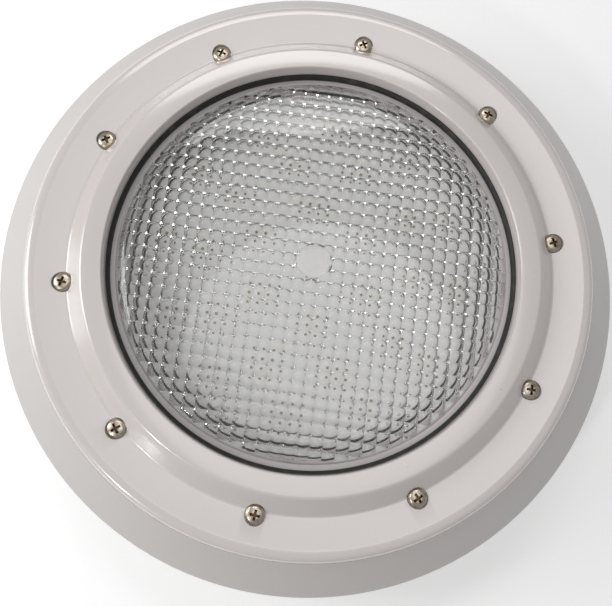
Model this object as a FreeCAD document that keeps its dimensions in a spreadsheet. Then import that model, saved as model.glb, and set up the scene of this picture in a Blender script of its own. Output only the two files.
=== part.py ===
import FreeCAD
import Part
import math
import os
import Sketcher

# Underwater pool lamp on a twist-lock wall bracket. Millimetres and degrees.
# The lamp axis is Z, the wall is the plane z = 0 and the lens faces +Z.

SIZES = {
    # skirt: outer rim, cone, clamping deck and lens seat; and the rear can behind it
    "wall": 3.0,
    "rim_radius": 144.1,
    "rim_height": 34.1,
    "rim_edge_round": 0.8,
    "cone_top_radius": 126.6,
    "deck_top": 48.0,
    "deck_step": 2.0,
    "deck_edge": 0.5,
    "seat_depth": 5.0,
    "seat_play": 0.5,
    "opening_lip": 1.8,
    "pan_margin": 6.0,
    "pan_floor": 13.0,
    "well_radius": 40.0,
    "well_level": 20.0,
    "rib_count": 20,
    "rib_thickness": 2.2,
    "rib_foot": 12.0,
    "rib_gap": 0.4,
    # rim foot and the groove of the wall gasket
    "foot_level": 0.6,
    "foot_top": 6.4,
    "foot_width": 8.0,
    "groove_land": 2.1,
    "gasket_width": 3.2,
    "gasket_height": 3.0,
    "gasket_clearance": 0.4,
    # front ring: heights are above the deck
    "seam_gap": 0.3,
    "ring_margin": 0.75,
    "bead_height": 6.8,
    "bead_round": 3.2,
    "bead_width": 6.2,
    "bead_inner_round": 1.8,
    "channel_height": 2.7,
    "land_height": 10.3,
    "step_run": 8.0,
    "step_foot_round": 1.8,
    "step_top_round": 2.4,
    "land_width": 9.0,
    "mouth_radius": 91.0,
    "mouth_round": 0.8,
    "mouth_height": 3.9,
    # ring screws and their inserts
    "screw_offset": 1.5,
    "screw_count": 10,
    "screw_phase": 5.2,
    "head_radius": 4.1,
    "head_height": 2.9,
    "spot_depth": 0.5,
    "spot_play": 0.4,
    "shank_radius": 1.95,
    "shank_length": 13.6,
    "thread_play": 0.05,
    "screw_play": 0.3,
    "cross_length": 4.7,
    "cross_width": 1.05,
    "cross_depth": 1.6,
    "insert_wall": 1.0,
    "insert_length": 10.0,
    "boss_wall": 2.0,
    "boss_depth": 13.0,
    # lens and its gasket: heights are above the flange's underside
    "lens_flange": 6.5,
    "flange_thickness": 2.9,
    "shoulder_gap": 3.7,
    "lens_thickness": 3.0,
    "lens_rim_height": 7.4,
    "lens_crown_height": 8.7,
    "lens_boss_radius": 7.7,
    "lens_boss_height": 0.4,
    "seal_wall": 2.0,
    "seal_floor": 3.0,
    "seal_lip": 1.2,
    "seal_foot": 4.5,
    # light engine
    "plate_play": 1.5,
    "plate_bottom": 27.0,
    "plate_thickness": 2.2,
    "pad_inset": 4.0,
    "pad_thickness": 0.6,
    "board_thickness": 1.6,
    "led_inner_circle": 28.0,
    "led_inner_count": 6,
    "led_inner_start": 29.0,
    "led_middle_circle": 50.0,
    "led_middle_count": 10,
    "led_middle_start": 28.0,
    "led_outer_circle": 68.0,
    "led_outer_count": 12,
    "led_outer_start": 19.0,
    "led_side": 5.0,
    "led_height": 1.0,
    "dome_radius": 2.0,
    "pillar_inset": 8.0,
    "pillar_count": 6,
    "pillar_radius": 3.2,
    "pillar_foot": 15.0,
    "pillar_boss_wall": 1.6,
    "stud_depth": 1.5,
    "tap_depth": 6.0,
    "small_play": 0.25,
    "small_shank": 1.45,
    "small_head": 2.8,
    "small_head_height": 2.0,
    "screw_bite": 5.0,
    "connector_width": 10.0,
    "connector_inset": 10.0,
    "connector_length": 7.0,
    "connector_height": 4.0,
    "connector_way": 3.0,
    # driver
    "driver_width": 64.0,
    "driver_depth": 38.0,
    "driver_inner": 50.0,
    "driver_level": 16.0,
    "driver_inset": 4.0,
    "post_radius": 2.9,
    "post_hole_depth": 4.8,
    "driver_bite": 3.6,
    "coil_place": -16.0,
    "coil_radius": 7.0,
    "coil_height": 8.0,
    "coil_core": 2.8,
    "capacitor_place": 2.0,
    "capacitor_spacing": 12.0,
    "capacitor_radius": 4.0,
    "capacitor_height": 8.4,
    "rectifier_place": 13.0,
    "rectifier_offset": 4.0,
    "rectifier_width": 4.0,
    "rectifier_depth": 14.0,
    "rectifier_height": 7.0,
    "terminal_place": 25.0,
    "terminal_offset": -5.0,
    "terminal_width": 10.0,
    "terminal_depth": 11.0,
    "terminal_height": 7.5,
    "terminal_pitch": 5.2,
    "terminal_screw": 1.6,
    "terminal_screw_depth": 2.5,
    "terminal_way": 3.0,
    "terminal_way_lift": 0.8,
    "lead_radius": 0.9,
    "lead_spacing": 5.0,
    "lead_play": 0.3,
    "lead_rise": 3.0,
    "lead_slope": 2.5,
    "lead_margin": 4.0,
    # cable gland
    "gland_play": 0.2,
    "gland_shank": 8.0,
    "gland_hex": 12.7,
    "gland_hex_height": 4.2,
    "gland_barrel": 8.5,
    "gland_tip": 5.0,
    "gland_bore": 6.5,
    "gland_shoulder": 1.3,
    "cable_radius": 4.0,
    "locknut_margin": 0.6,
    "locknut_height": 4.0,
    "thread_proud": 0.8,
    "seal_proud": 1.0,
    "nut_reach": 3.0,
    "nut_gap": 0.8,
    "nut_mouth_play": 1.0,
    "oring_circle": 9.3,
    "oring_section": 0.8,
    # wall bracket and bayonet
    "bracket_inner": 45.0,
    "bracket_thickness": 3.5,
    "collar_width": 4.0,
    "collar_top": 8.0,
    "tab_length": 6.0,
    "tab_gap": 2.0,
    "tab_thickness": 2.5,
    "tab_angle": 26.0,
    "tab_count": 3,
    "hook_angle": 22.0,
    "hook_start": 27.0,
    "hook_depth": 6.5,
    "twist": 25.0,
    "stop_angle": 3.5,
    "stop_play": 0.5,
    "hook_play": 0.5,
    "hook_bottom": 1.8,
    "bayonet_inner": 74.0,
    "bayonet_wall": 4.0,
    "bayonet_bottom": 1.2,
    "bayonet_width": 16.0,
    "bayonet_screw_inset": 6.0,
    "bayonet_screw_count": 4,
    "bayonet_screw_phase": 45.0,
    "bayonet_boss_radius": 4.5,
    "bayonet_boss_height": 7.0,
    "bayonet_bite": 7.0,
    "wall_hole_circle": 55.0,
    "wall_hole_radius": 2.6,
    "wall_hole_count": 4,
    "wall_hole_phase": 45.0,
    # how far a cut runs past a face, and how far an added body sinks into one
    "past": 1.0,
    "sink": 0.5,
}

doc = FreeCAD.newDocument("pool_light")
sheet = doc.addObject("Spreadsheet::Sheet", "Sizes")
for row, (alias, number) in enumerate(SIZES.items(), start=1):
    sheet.set("A%d" % row, alias)
    sheet.set("B%d" % row, str(number))
    sheet.setAlias("B%d" % row, alias)
doc.recompute()


class Size:
    """A number that remembers the sheet expression it came from."""

    def __init__(self, value, text):
        self.value = value
        self.text = text

    def _with(self, other, sign, result):
        return Size(result, "(%s %s %s)" % (self.text, sign, as_size(other).text))

    def __add__(self, other):
        return self._with(other, "+", self.value + as_size(other).value)

    def __sub__(self, other):
        return self._with(other, "-", self.value - as_size(other).value)

    def __mul__(self, other):
        return self._with(other, "*", self.value * as_size(other).value)

    def __truediv__(self, other):
        return self._with(other, "/", self.value / as_size(other).value)

    def __neg__(self):
        return Size(-self.value, "(0 - %s)" % self.text)


def as_size(number):
    if isinstance(number, Size):
        return number
    return Size(float(number), "%.6f" % number)


def cosine(angle):
    angle = as_size(angle)
    return Size(math.cos(math.radians(angle.value)), "cos(%s)" % angle.text)


def sine(angle):
    angle = as_size(angle)
    return Size(math.sin(math.radians(angle.value)), "sin(%s)" % angle.text)


class Sheet:
    """Every sheet alias as an attribute."""

    def __init__(self, sizes):
        for name, value in sizes.items():
            setattr(self, name, Size(float(value), "Sizes.%s" % name))


s = Sheet(SIZES)

# ---------------------------------------------------------------- sizes that follow from others
mouth_outer = s.mouth_radius + s.wall
lens_radius = s.mouth_radius + s.lens_flange
shoulder_radius = s.mouth_radius - s.shoulder_gap
lens_inner = shoulder_radius - s.lens_thickness
seal_inner = s.mouth_radius - s.seal_lip
seal_outer = lens_radius + s.seal_wall
seal_foot_inner = lens_radius - s.seal_foot
seat_radius = seal_outer + s.seat_play
seat_outer = seat_radius + s.wall
opening_radius = shoulder_radius - s.opening_lip
step_top_radius = s.mouth_radius + s.land_width
step_foot_radius = step_top_radius + s.step_run
screw_circle = step_foot_radius + s.screw_offset
pan_radius = screw_circle + s.pan_margin
deck_radius = s.cone_top_radius - s.deck_edge
ring_outer = deck_radius - s.seam_gap
bead_inner = s.cone_top_radius - s.bead_width
plate_radius = opening_radius - s.plate_play
pillar_circle = plate_radius - s.pillar_inset
gasket_outer = s.rim_radius - s.groove_land
gasket_inner = gasket_outer - s.gasket_width
tab_reach = s.bayonet_inner - s.tab_gap
bracket_outer = tab_reach - s.tab_length
hook_inner = s.bayonet_inner - s.hook_depth
bayonet_outer = s.bayonet_inner + s.bayonet_wall
bayonet_rim = s.bayonet_inner + s.bayonet_width
bayonet_screw_circle = bayonet_rim - s.bayonet_screw_inset

cone_top = s.deck_top + s.deck_step
deck_under = s.deck_top - s.wall
seat_level = s.deck_top - s.seat_depth
seat_under = seat_level - s.wall
pan_under = s.pan_floor - s.wall
well_under = s.well_level - s.wall
bead_top = s.deck_top + s.bead_height
channel_level = s.deck_top + s.channel_height
land_level = s.deck_top + s.land_height
land_under = land_level - s.wall
mouth_bottom = s.deck_top + s.mouth_height
head_seat = channel_level - s.spot_depth
flange_bottom = seat_level + s.seal_floor
flange_top = flange_bottom + s.flange_thickness
lens_rim_level = flange_bottom + s.lens_rim_height
lens_crown = flange_bottom + s.lens_crown_height

spot_radius = s.head_radius + s.spot_play
insert_radius = s.shank_radius + s.thread_play + s.insert_wall
boss_radius = insert_radius + s.boss_wall
clearance_hole = s.shank_radius + s.screw_play
small_hole = s.small_shank + s.small_play
gland_hole = s.gland_shank + s.gland_play
NODES = []


def new_body(name):
    body = doc.addObject("PartDesign::Body", name)
    body.Label = name
    body.AllowCompound = True
    NODES.append(body)
    return body


def origin_item(body, role):
    for feature in body.Origin.OriginFeatures:
        if feature.Role == role:
            return feature
    raise ValueError(role)


def bind(item, path, size):
    item.setExpression(path, as_size(size).text)


def fix_point(sketch, line, end, x, y, tag):
    """Tie one end of a line to its two distances from the sketch origin."""
    for kind, axis, size in (("DistanceX", -2, as_size(x)), ("DistanceY", -1, as_size(y))):
        if abs(size.value) < 1e-9:
            sketch.addConstraint(Sketcher.Constraint("PointOnObject", line, end, axis))
            continue
        if size.value > 0:
            rule = Sketcher.Constraint(kind, -1, 1, line, end, size.value)
        else:
            size = -size
            rule = Sketcher.Constraint(kind, line, end, -1, 1, size.value)
        index = sketch.addConstraint(rule)
        name = "%s_%s" % (tag, kind[-1].lower())
        sketch.renameConstraint(index, name)
        bind(sketch, "Constraints." + name, size)


def new_sketch(body, name, plane):
    sketch = body.newObject("Sketcher::SketchObject", name)
    sketch.AttachmentSupport = (origin_item(body, plane), [""])
    sketch.MapMode = "FlatFace"
    return sketch


def draw_outline(sketch, points, closed=True):
    vectors = [FreeCAD.Vector(as_size(x).value, as_size(y).value, 0) for x, y in points]
    count = len(points)
    last = count if closed else count - 1
    for i in range(last):
        sketch.addGeometry(Part.LineSegment(vectors[i], vectors[(i + 1) % count]), False)
    for i in range(last - 1 + int(closed)):
        sketch.addConstraint(Sketcher.Constraint("Coincident", i, 2, (i + 1) % last, 1))
    for i, (x, y) in enumerate(points):
        if i < last:
            fix_point(sketch, i, 1, x, y, "p%d" % i)
        else:
            fix_point(sketch, i - 1, 2, x, y, "p%d" % i)


def revolve(body, name, points, angle=None, centre=None, cut=False):
    """Turn a profile of (radius, height) points about Z."""
    sketch = new_sketch(body, name + "_profile", "XZ_Plane")
    if centre is not None:
        sketch.AttachmentOffset = FreeCAD.Placement(
            FreeCAD.Vector(0, 0, 0), FreeCAD.Rotation(FreeCAD.Vector(0, 1, 0), 1.0)
        )
        bind(sketch, "AttachmentOffset.Rotation.Angle", centre)
    draw_outline(sketch, points)
    kind = "PartDesign::Groove" if cut else "PartDesign::Revolution"
    feature = body.newObject(kind, name)
    feature.Profile = sketch
    feature.ReferenceAxis = (sketch, ["V_Axis"])
    feature.Angle = 360.0
    if angle is not None:
        feature.Midplane = True
        bind(feature, "Angle", angle)
    return feature


def place(feature, x, y, z):
    for axis, size in zip("xyz", (x, y, z)):
        bind(feature, "Placement.Base." + axis, size)
    return feature


def cylinder(body, name, radius, bottom, height, x=0, y=0, cut=False):
    kind = "Subtractive" if cut else "Additive"
    feature = body.newObject("PartDesign::%sCylinder" % kind, name)
    bind(feature, "Radius", radius)
    bind(feature, "Height", height)
    return place(feature, x, y, bottom)


def box(body, name, length, width, height, x, y, z, cut=False):
    """A box whose footprint is centred on x, y and whose base is at z."""
    kind = "Subtractive" if cut else "Additive"
    feature = body.newObject("PartDesign::%sBox" % kind, name)
    bind(feature, "Length", length)
    bind(feature, "Width", width)
    bind(feature, "Height", height)
    return place(feature, as_size(x) - as_size(length) / 2, as_size(y) - as_size(width) / 2, z)


def prism(body, name, radius, bottom, height, x=0, y=0):
    feature = body.newObject("PartDesign::AdditivePrism", name)
    feature.Polygon = 6
    bind(feature, "Circumradius", radius)
    bind(feature, "Height", height)
    return place(feature, x, y, bottom)


def cone(body, name, lower, upper, bottom, height, x=0, y=0):
    feature = body.newObject("PartDesign::AdditiveCone", name)
    bind(feature, "Radius1", lower)
    bind(feature, "Radius2", upper)
    bind(feature, "Height", height)
    return place(feature, x, y, bottom)


def around(body, name, features, count):
    """Repeat features evenly about Z; their placements must not be turned."""
    pattern = body.newObject("PartDesign::PolarPattern", name)
    pattern.Originals = features
    pattern.Axis = (origin_item(body, "Z_Axis"), [""])
    pattern.Angle = 360.0
    bind(pattern, "Occurrences", count)
    body.Tip = pattern
    return pattern


def pan_screw(body, name, x, y, seat, head, shank, cross, down=True):
    """One cross-recess pan screw; head, shank and cross each hold their sizes."""
    head_radius, head_height = head
    shank_radius, shank_length = shank
    cross_length, cross_width, cross_depth = cross
    crown = as_size(0.7)
    layers = ((0.0, 0.45, 1.0, 1.0), (0.45, 0.33, 1.0, 0.8), (0.78, 0.22, 0.8, 0.5))
    features = []
    for number, (start, share, lower, upper) in enumerate(layers):
        height = head_height * share
        bottom = seat + head_height * start
        if not down:
            bottom = seat - head_height * (start + share)
            lower, upper = upper, lower
        label = "%s_head_%d" % (name, number)
        if number == 0:
            features.append(cylinder(body, label, head_radius, bottom, height, x, y))
        else:
            features.append(cone(body, label, head_radius * lower, head_radius * upper, bottom, height, x, y))
    shank_bottom = seat - shank_length if down else seat
    features.append(cylinder(body, name + "_shank", shank_radius, shank_bottom, shank_length, x, y))
    recess = seat + head_height - cross_depth if down else seat - head_height - crown
    depth = cross_depth + crown
    features.append(box(body, name + "_cross_a", cross_length, cross_width, depth, x, y, recess, cut=True))
    features.append(box(body, name + "_cross_b", cross_width, cross_length, depth, x, y, recess, cut=True))
    return features


def round_circles(body, name, circles, radius):
    """Fillet the circular edges found at the given (radius, height) pairs."""
    base = body.Tip
    doc.recompute()
    wanted = [(as_size(r).value, as_size(z).value) for r, z in circles]
    picked = []
    for number, edge in enumerate(base.Shape.Edges, start=1):
        curve = edge.Curve
        if not isinstance(curve, Part.Circle):
            continue
        for r, z in wanted:
            if abs(curve.Radius - r) < 0.01 and abs(curve.Center.z - z) < 0.01:
                picked.append("Edge%d" % number)
    if len(picked) < len(wanted):
        raise ValueError("edge to round not found in " + name)
    fillet = body.newObject("PartDesign::Fillet", name)
    fillet.Base = (base, picked)
    bind(fillet, "Radius", radius)
    body.Tip = fillet
    return fillet


def polar(circle, angle):
    return as_size(circle) * cosine(angle), as_size(circle) * sine(angle)


# ---------------------------------------------------------------- skirt
foot_inner = s.rim_radius - s.foot_width
rim_inner = s.rim_radius - s.wall
cone_drop = s.wall * 0.43
groove_inner = gasket_inner - s.gasket_clearance
groove_outer = gasket_outer + s.gasket_clearance
groove_top = s.gasket_height + s.gasket_clearance
screw_x, screw_y = polar(screw_circle, s.screw_phase)

skirt = new_body("skirt")
revolve(skirt, "skirt_shell", [
    (s.rim_radius, s.foot_level),
    (s.rim_radius, s.rim_height),
    (s.cone_top_radius, cone_top),
    (deck_radius, cone_top),
    (deck_radius, s.deck_top),
    (seat_radius, s.deck_top),
    (seat_radius, seat_level),
    (opening_radius, seat_level),
    (opening_radius, seat_under),
    (seat_outer, seat_under),
    (seat_outer, deck_under),
    (s.cone_top_radius + cone_drop, deck_under),
    (rim_inner, s.rim_height - cone_drop),
    (rim_inner, s.foot_top),
    (foot_inner, s.foot_top),
    (foot_inner, s.foot_level),
    (groove_inner, s.foot_level),
    (groove_inner, groove_top),
    (groove_outer, groove_top),
    (groove_outer, s.foot_level),
])
round_circles(skirt, "rim_edge", [(s.rim_radius, s.rim_height)], s.rim_edge_round)

rib_inner = pan_radius + s.rib_gap
rib_sketch = new_sketch(skirt, "rib_profile", "XZ_Plane")
draw_outline(rib_sketch, [
    (rib_inner, s.rib_foot),
    (rim_inner + s.sink, s.rib_foot),
    (rim_inner + s.sink, s.rim_height - s.wall),
    (s.cone_top_radius, deck_under + s.sink),
    (rib_inner, deck_under + s.sink),
])
rib = skirt.newObject("PartDesign::Pad", "rib")
rib.Profile = rib_sketch
rib.Midplane = True
bind(rib, "Length", s.rib_thickness)
around(skirt, "ribs", [rib], s.rib_count)
deck_hole = cylinder(
    skirt, "deck_hole", clearance_hole, deck_under - s.past, s.wall + s.past * 2, screw_x, screw_y, cut=True
)
around(skirt, "deck_holes", [deck_hole], s.screw_count)

# ---------------------------------------------------------------- rear can
can = new_body("rear_can")
revolve(can, "can_shell", [
    (pan_radius, pan_under),
    (pan_radius, deck_under),
    (pan_radius - s.wall, deck_under),
    (pan_radius - s.wall, s.pan_floor),
    (s.well_radius + s.wall, s.pan_floor),
    (s.well_radius + s.wall, s.well_level),
    (gland_hole, s.well_level),
    (gland_hole, well_under),
    (s.well_radius, well_under),
    (s.well_radius, pan_under),
])
boss_bottom = deck_under - s.boss_depth
boss = cylinder(can, "ring_boss", boss_radius, boss_bottom, s.boss_depth, screw_x, screw_y)
around(can, "ring_bosses", [boss], s.screw_count)
insert_bottom = deck_under - s.insert_length
insert_hole = cylinder(
    can, "insert_hole", insert_radius, insert_bottom, s.insert_length + s.past, screw_x, screw_y, cut=True
)
around(can, "insert_holes", [insert_hole], s.screw_count)

pillar_boss = cylinder(
    can, "pillar_boss", s.pillar_radius + s.pillar_boss_wall, s.pan_floor - s.sink,
    s.pillar_foot - s.pan_floor + s.sink, pillar_circle
)
around(can, "pillar_bosses", [pillar_boss], s.pillar_count)
stud_bottom = s.pan_floor - s.stud_depth
pillar_hole = cylinder(
    can, "pillar_hole", s.small_shank, stud_bottom, s.pillar_foot - stud_bottom + s.past,
    pillar_circle, cut=True
)
around(can, "pillar_holes", [pillar_hole], s.pillar_count)

bayonet_x, bayonet_y = polar(bayonet_screw_circle, s.bayonet_screw_phase)
bayonet_boss = cylinder(
    can, "bayonet_boss", s.bayonet_boss_radius, s.pan_floor - s.sink, s.bayonet_boss_height + s.sink,
    bayonet_x, bayonet_y
)
around(can, "bayonet_bosses", [bayonet_boss], s.bayonet_screw_count)
bayonet_hole = cylinder(
    can, "bayonet_hole", s.small_shank, pan_under - s.past, s.bayonet_bite + s.past * 2,
    bayonet_x, bayonet_y, cut=True
)
around(can, "bayonet_holes", [bayonet_hole], s.bayonet_screw_count)

driver_middle = s.driver_inner + s.driver_depth / 2
post_x = s.driver_width / 2 - s.driver_inset
post_y = s.driver_depth / 2 - s.driver_inset
POSTS = [(post_x * i, driver_middle + post_y * j) for i in (-1, 1) for j in (-1, 1)]
for number, (x, y) in enumerate(POSTS):
    cylinder(can, "post_%d" % number, s.post_radius, s.pan_floor - s.sink,
             s.driver_level - s.pan_floor + s.sink, x, y)
for number, (x, y) in enumerate(POSTS):
    cylinder(can, "post_hole_%d" % number, s.small_shank, s.driver_level - s.post_hole_depth,
             s.post_hole_depth + s.past, x, y, cut=True)

# ---------------------------------------------------------------- front ring
rest_inner = seat_outer + s.seat_play
rest_outer = screw_circle + clearance_hole + s.ring_margin
bead_under = bead_top - s.bead_round
ring = new_body("front_ring")
revolve(ring, "ring_section", [
    (ring_outer, s.deck_top),
    (ring_outer, bead_top),
    (bead_inner, bead_top),
    (step_foot_radius, channel_level),
    (step_top_radius, land_level),
    (s.mouth_radius, land_level),
    (s.mouth_radius, mouth_bottom),
    (mouth_outer, mouth_bottom),
    (mouth_outer, land_under),
    (step_top_radius - s.wall / 3, land_under),
    (rest_inner, mouth_bottom),
    (rest_inner, s.deck_top),
    (rest_outer, s.deck_top),
    (rest_outer, channel_level - s.wall / 2),
    (bead_inner + s.seat_play, bead_under),
    (ring_outer - s.wall, bead_under),
    (ring_outer - s.wall, s.deck_top),
])
round_circles(ring, "bead_outer", [(ring_outer, bead_top)], s.bead_round)
round_circles(ring, "bead_inside", [(bead_inner, bead_top)], s.bead_inner_round)
round_circles(ring, "step_top", [(step_top_radius, land_level)], s.step_top_round)
round_circles(ring, "step_foot", [(step_foot_radius, channel_level)], s.step_foot_round)
round_circles(ring, "mouth_lip", [(s.mouth_radius, land_level)], s.mouth_round)
spot = cylinder(ring, "spot_face", spot_radius, head_seat, s.land_height, screw_x, screw_y, cut=True)
ring_hole = cylinder(
    ring, "ring_hole", clearance_hole, s.deck_top - s.past, s.channel_height + s.past * 2,
    screw_x, screw_y, cut=True
)
around(ring, "ring_seats", [spot, ring_hole], s.screw_count)

# ---------------------------------------------------------------- ring screws
screws = new_body("ring_screws")
ring_screw = pan_screw(
    screws, "screw", screw_x, screw_y, head_seat, (s.head_radius, s.head_height),
    (s.shank_radius, s.shank_length), (s.cross_length, s.cross_width, s.cross_depth)
)
around(screws, "screw_set", ring_screw, s.screw_count)

inserts = new_body("ring_inserts")
sleeve = cylinder(inserts, "insert_sleeve", insert_radius, insert_bottom, s.insert_length, screw_x, screw_y)
thread = cylinder(
    inserts, "insert_thread", s.shank_radius + s.thread_play, insert_bottom - s.past,
    s.insert_length + s.past * 2, screw_x, screw_y, cut=True
)
around(inserts, "insert_set", [sleeve, thread], s.screw_count)

# ---------------------------------------------------------------- lens and gasket
# the face is a shallow dome: its outline is given as shares of the shoulder's radius
lens = new_body("lens")
dome_drop = s.lens_crown_height / 10
revolve(lens, "lens_section", [
    (0, lens_crown + s.lens_boss_height),
    (s.lens_boss_radius, lens_crown + s.lens_boss_height),
    (s.lens_boss_radius, lens_crown - s.lens_boss_height / 20),
    (shoulder_radius * 0.45, lens_crown - dome_drop / 3),
    (shoulder_radius * 0.8, lens_crown - dome_drop),
    (shoulder_radius * 0.925, lens_rim_level),
    (shoulder_radius * 0.975, lens_rim_level - s.lens_thickness / 2),
    (shoulder_radius, flange_top),
    (lens_radius, flange_top),
    (lens_radius, flange_bottom),
    (lens_inner, flange_bottom),
    (lens_inner, flange_top + s.lens_thickness / 15),
    (shoulder_radius * 0.92, lens_rim_level - s.lens_thickness),
    (shoulder_radius * 0.8, lens_crown - dome_drop - s.lens_thickness),
    (0, lens_crown - s.lens_thickness),
])

lens_gasket = new_body("lens_gasket")
lip_slope = s.seal_lip * 0.7
revolve(lens_gasket, "lens_gasket_section", [
    (seal_outer, seat_level),
    (seal_outer, mouth_bottom),
    (s.mouth_radius - s.thread_play, mouth_bottom),
    (seal_inner, mouth_bottom - lip_slope),
    (seal_inner, flange_top),
    (lens_radius, flange_top),
    (lens_radius, flange_bottom),
    (seal_foot_inner, flange_bottom),
    (seal_foot_inner, seat_level),
])

# ---------------------------------------------------------------- light engine
plate_top = s.plate_bottom + s.plate_thickness
pad_top = plate_top + s.pad_thickness
board_top = pad_top + s.board_thickness


def drilled_disc(name, radius, bottom, thickness):
    """A disc with the holes of the pillar screws."""
    body = new_body(name)
    cylinder(body, name + "_disc", radius, bottom, thickness)
    hole = cylinder(
        body, name + "_hole", small_hole, bottom - s.past, thickness + s.past * 2, pillar_circle, cut=True
    )
    around(body, name + "_holes", [hole], s.pillar_count)
    return body


drilled_disc("heat_plate", plate_radius, s.plate_bottom, s.plate_thickness)
drilled_disc("thermal_pad", plate_radius - s.pad_inset, plate_top, s.pad_thickness)
drilled_disc("led_board", plate_radius, pad_top, s.board_thickness)

LED_RINGS = (
    (s.led_inner_circle, s.led_inner_count, s.led_inner_start),
    (s.led_middle_circle, s.led_middle_count, s.led_middle_start),
    (s.led_outer_circle, s.led_outer_count, s.led_outer_start),
)
packages = new_body("led_packages")
for number, (circle, count, start) in enumerate(LED_RINGS):
    x, y = polar(circle, start)
    chip = box(packages, "led_%d" % number, s.led_side, s.led_side, s.led_height, x, y, board_top)
    around(packages, "led_ring_%d" % number, [chip], count)
domes = new_body("led_domes")
for number, (circle, count, start) in enumerate(LED_RINGS):
    x, y = polar(circle, start)
    dome = domes.newObject("PartDesign::AdditiveSphere", "dome_%d" % number)
    bind(dome, "Radius", s.dome_radius)
    dome.Angle1 = 0.0
    dome.Angle2 = 90.0
    place(dome, x, y, board_top + s.led_height)
    around(domes, "dome_ring_%d" % number, [dome], count)

pillars = new_body("board_pillars")
pillar = prism(
    pillars, "pillar", s.pillar_radius, s.pillar_foot, s.plate_bottom - s.pillar_foot, pillar_circle
)
stud = cylinder(
    pillars, "pillar_stud", s.small_shank, stud_bottom, s.pillar_foot - stud_bottom + s.sink, pillar_circle
)
tap = cylinder(
    pillars, "pillar_tap", s.small_shank, s.plate_bottom - s.tap_depth, s.tap_depth + s.past,
    pillar_circle, cut=True
)
around(pillars, "pillar_set", [pillar, stud, tap], s.pillar_count)


def small_screws(name, places, seat, length, count=None, down=True):
    """Small pan screws seated at a height, pointing down or up."""
    body = new_body(name)
    features = []
    for number, (x, y) in enumerate(places):
        features += pan_screw(
            body, "%s_%d" % (name, number), x, y, seat, (s.small_head, s.small_head_height),
            (s.small_shank, length), (s.small_head, s.small_head / 4, s.small_head_height * 0.55), down
        )
    if count is not None:
        around(body, name + "_set", features, count)
    return body


stack = board_top - s.plate_bottom
small_screws("board_screws", [(pillar_circle, 0)], board_top, stack + s.screw_bite, s.pillar_count)

connector = new_body("board_connector")
connector_inner = plate_radius - s.connector_inset
connector_end = connector_inner + s.connector_length
connector_middle = connector_inner + s.connector_length / 2
box(connector, "connector_shell", s.connector_width, s.connector_length, s.connector_height,
    0, connector_middle, board_top)
lead_top = board_top + s.lead_radius + s.lead_play
way_side = (s.lead_radius + s.thread_play) * 2
for number, x in enumerate((-s.lead_spacing / 2, s.lead_spacing / 2)):
    box(connector, "connector_way_%d" % number, way_side, s.connector_way, way_side,
        x, connector_end - s.connector_way / 2, lead_top - way_side / 2, cut=True)

# ---------------------------------------------------------------- driver
driver_top = s.driver_level + s.board_thickness
driver_board = new_body("driver_board")
box(driver_board, "driver_card", s.driver_width, s.driver_depth, s.board_thickness,
    0, driver_middle, s.driver_level)
for number, (x, y) in enumerate(POSTS):
    cylinder(driver_board, "card_hole_%d" % number, small_hole, s.driver_level - s.past,
             s.board_thickness + s.past * 2, x, y, cut=True)
small_screws("driver_screws", POSTS, driver_top, s.board_thickness + s.driver_bite)

coil = new_body("driver_coil")
cylinder(coil, "coil_winding", s.coil_radius, driver_top, s.coil_height, s.coil_place, driver_middle)
cylinder(coil, "coil_hole", s.coil_core, driver_top - s.past, s.coil_height + s.past * 2,
         s.coil_place, driver_middle, cut=True)

capacitors = new_body("driver_capacitors")
for number, offset in enumerate((-s.capacitor_spacing / 2, s.capacitor_spacing / 2)):
    cylinder(capacitors, "capacitor_%d" % number, s.capacitor_radius, driver_top, s.capacitor_height,
             s.capacitor_place, driver_middle + offset)

rectifier = new_body("driver_rectifier")
box(rectifier, "rectifier_case", s.rectifier_width, s.rectifier_depth, s.rectifier_height,
    s.rectifier_place, driver_middle + s.rectifier_offset, driver_top)

terminal = new_body("terminal_block")
terminal_y = driver_middle + s.terminal_offset
box(terminal, "terminal_case", s.terminal_width, s.terminal_depth, s.terminal_height,
    s.terminal_place, terminal_y, driver_top)
terminal_top = driver_top + s.terminal_height
terminal_face = s.terminal_place + s.terminal_width / 2
for number, offset in enumerate((-s.terminal_pitch / 2, s.terminal_pitch / 2)):
    cylinder(terminal, "terminal_well_%d" % number, s.terminal_screw, terminal_top - s.terminal_screw_depth,
             s.terminal_screw_depth + s.past, s.terminal_place, terminal_y + offset, cut=True)
    box(terminal, "terminal_way_%d" % number, s.terminal_way, s.terminal_way, s.terminal_way,
        terminal_face, terminal_y + offset, driver_top + s.terminal_way_lift, cut=True)

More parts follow.
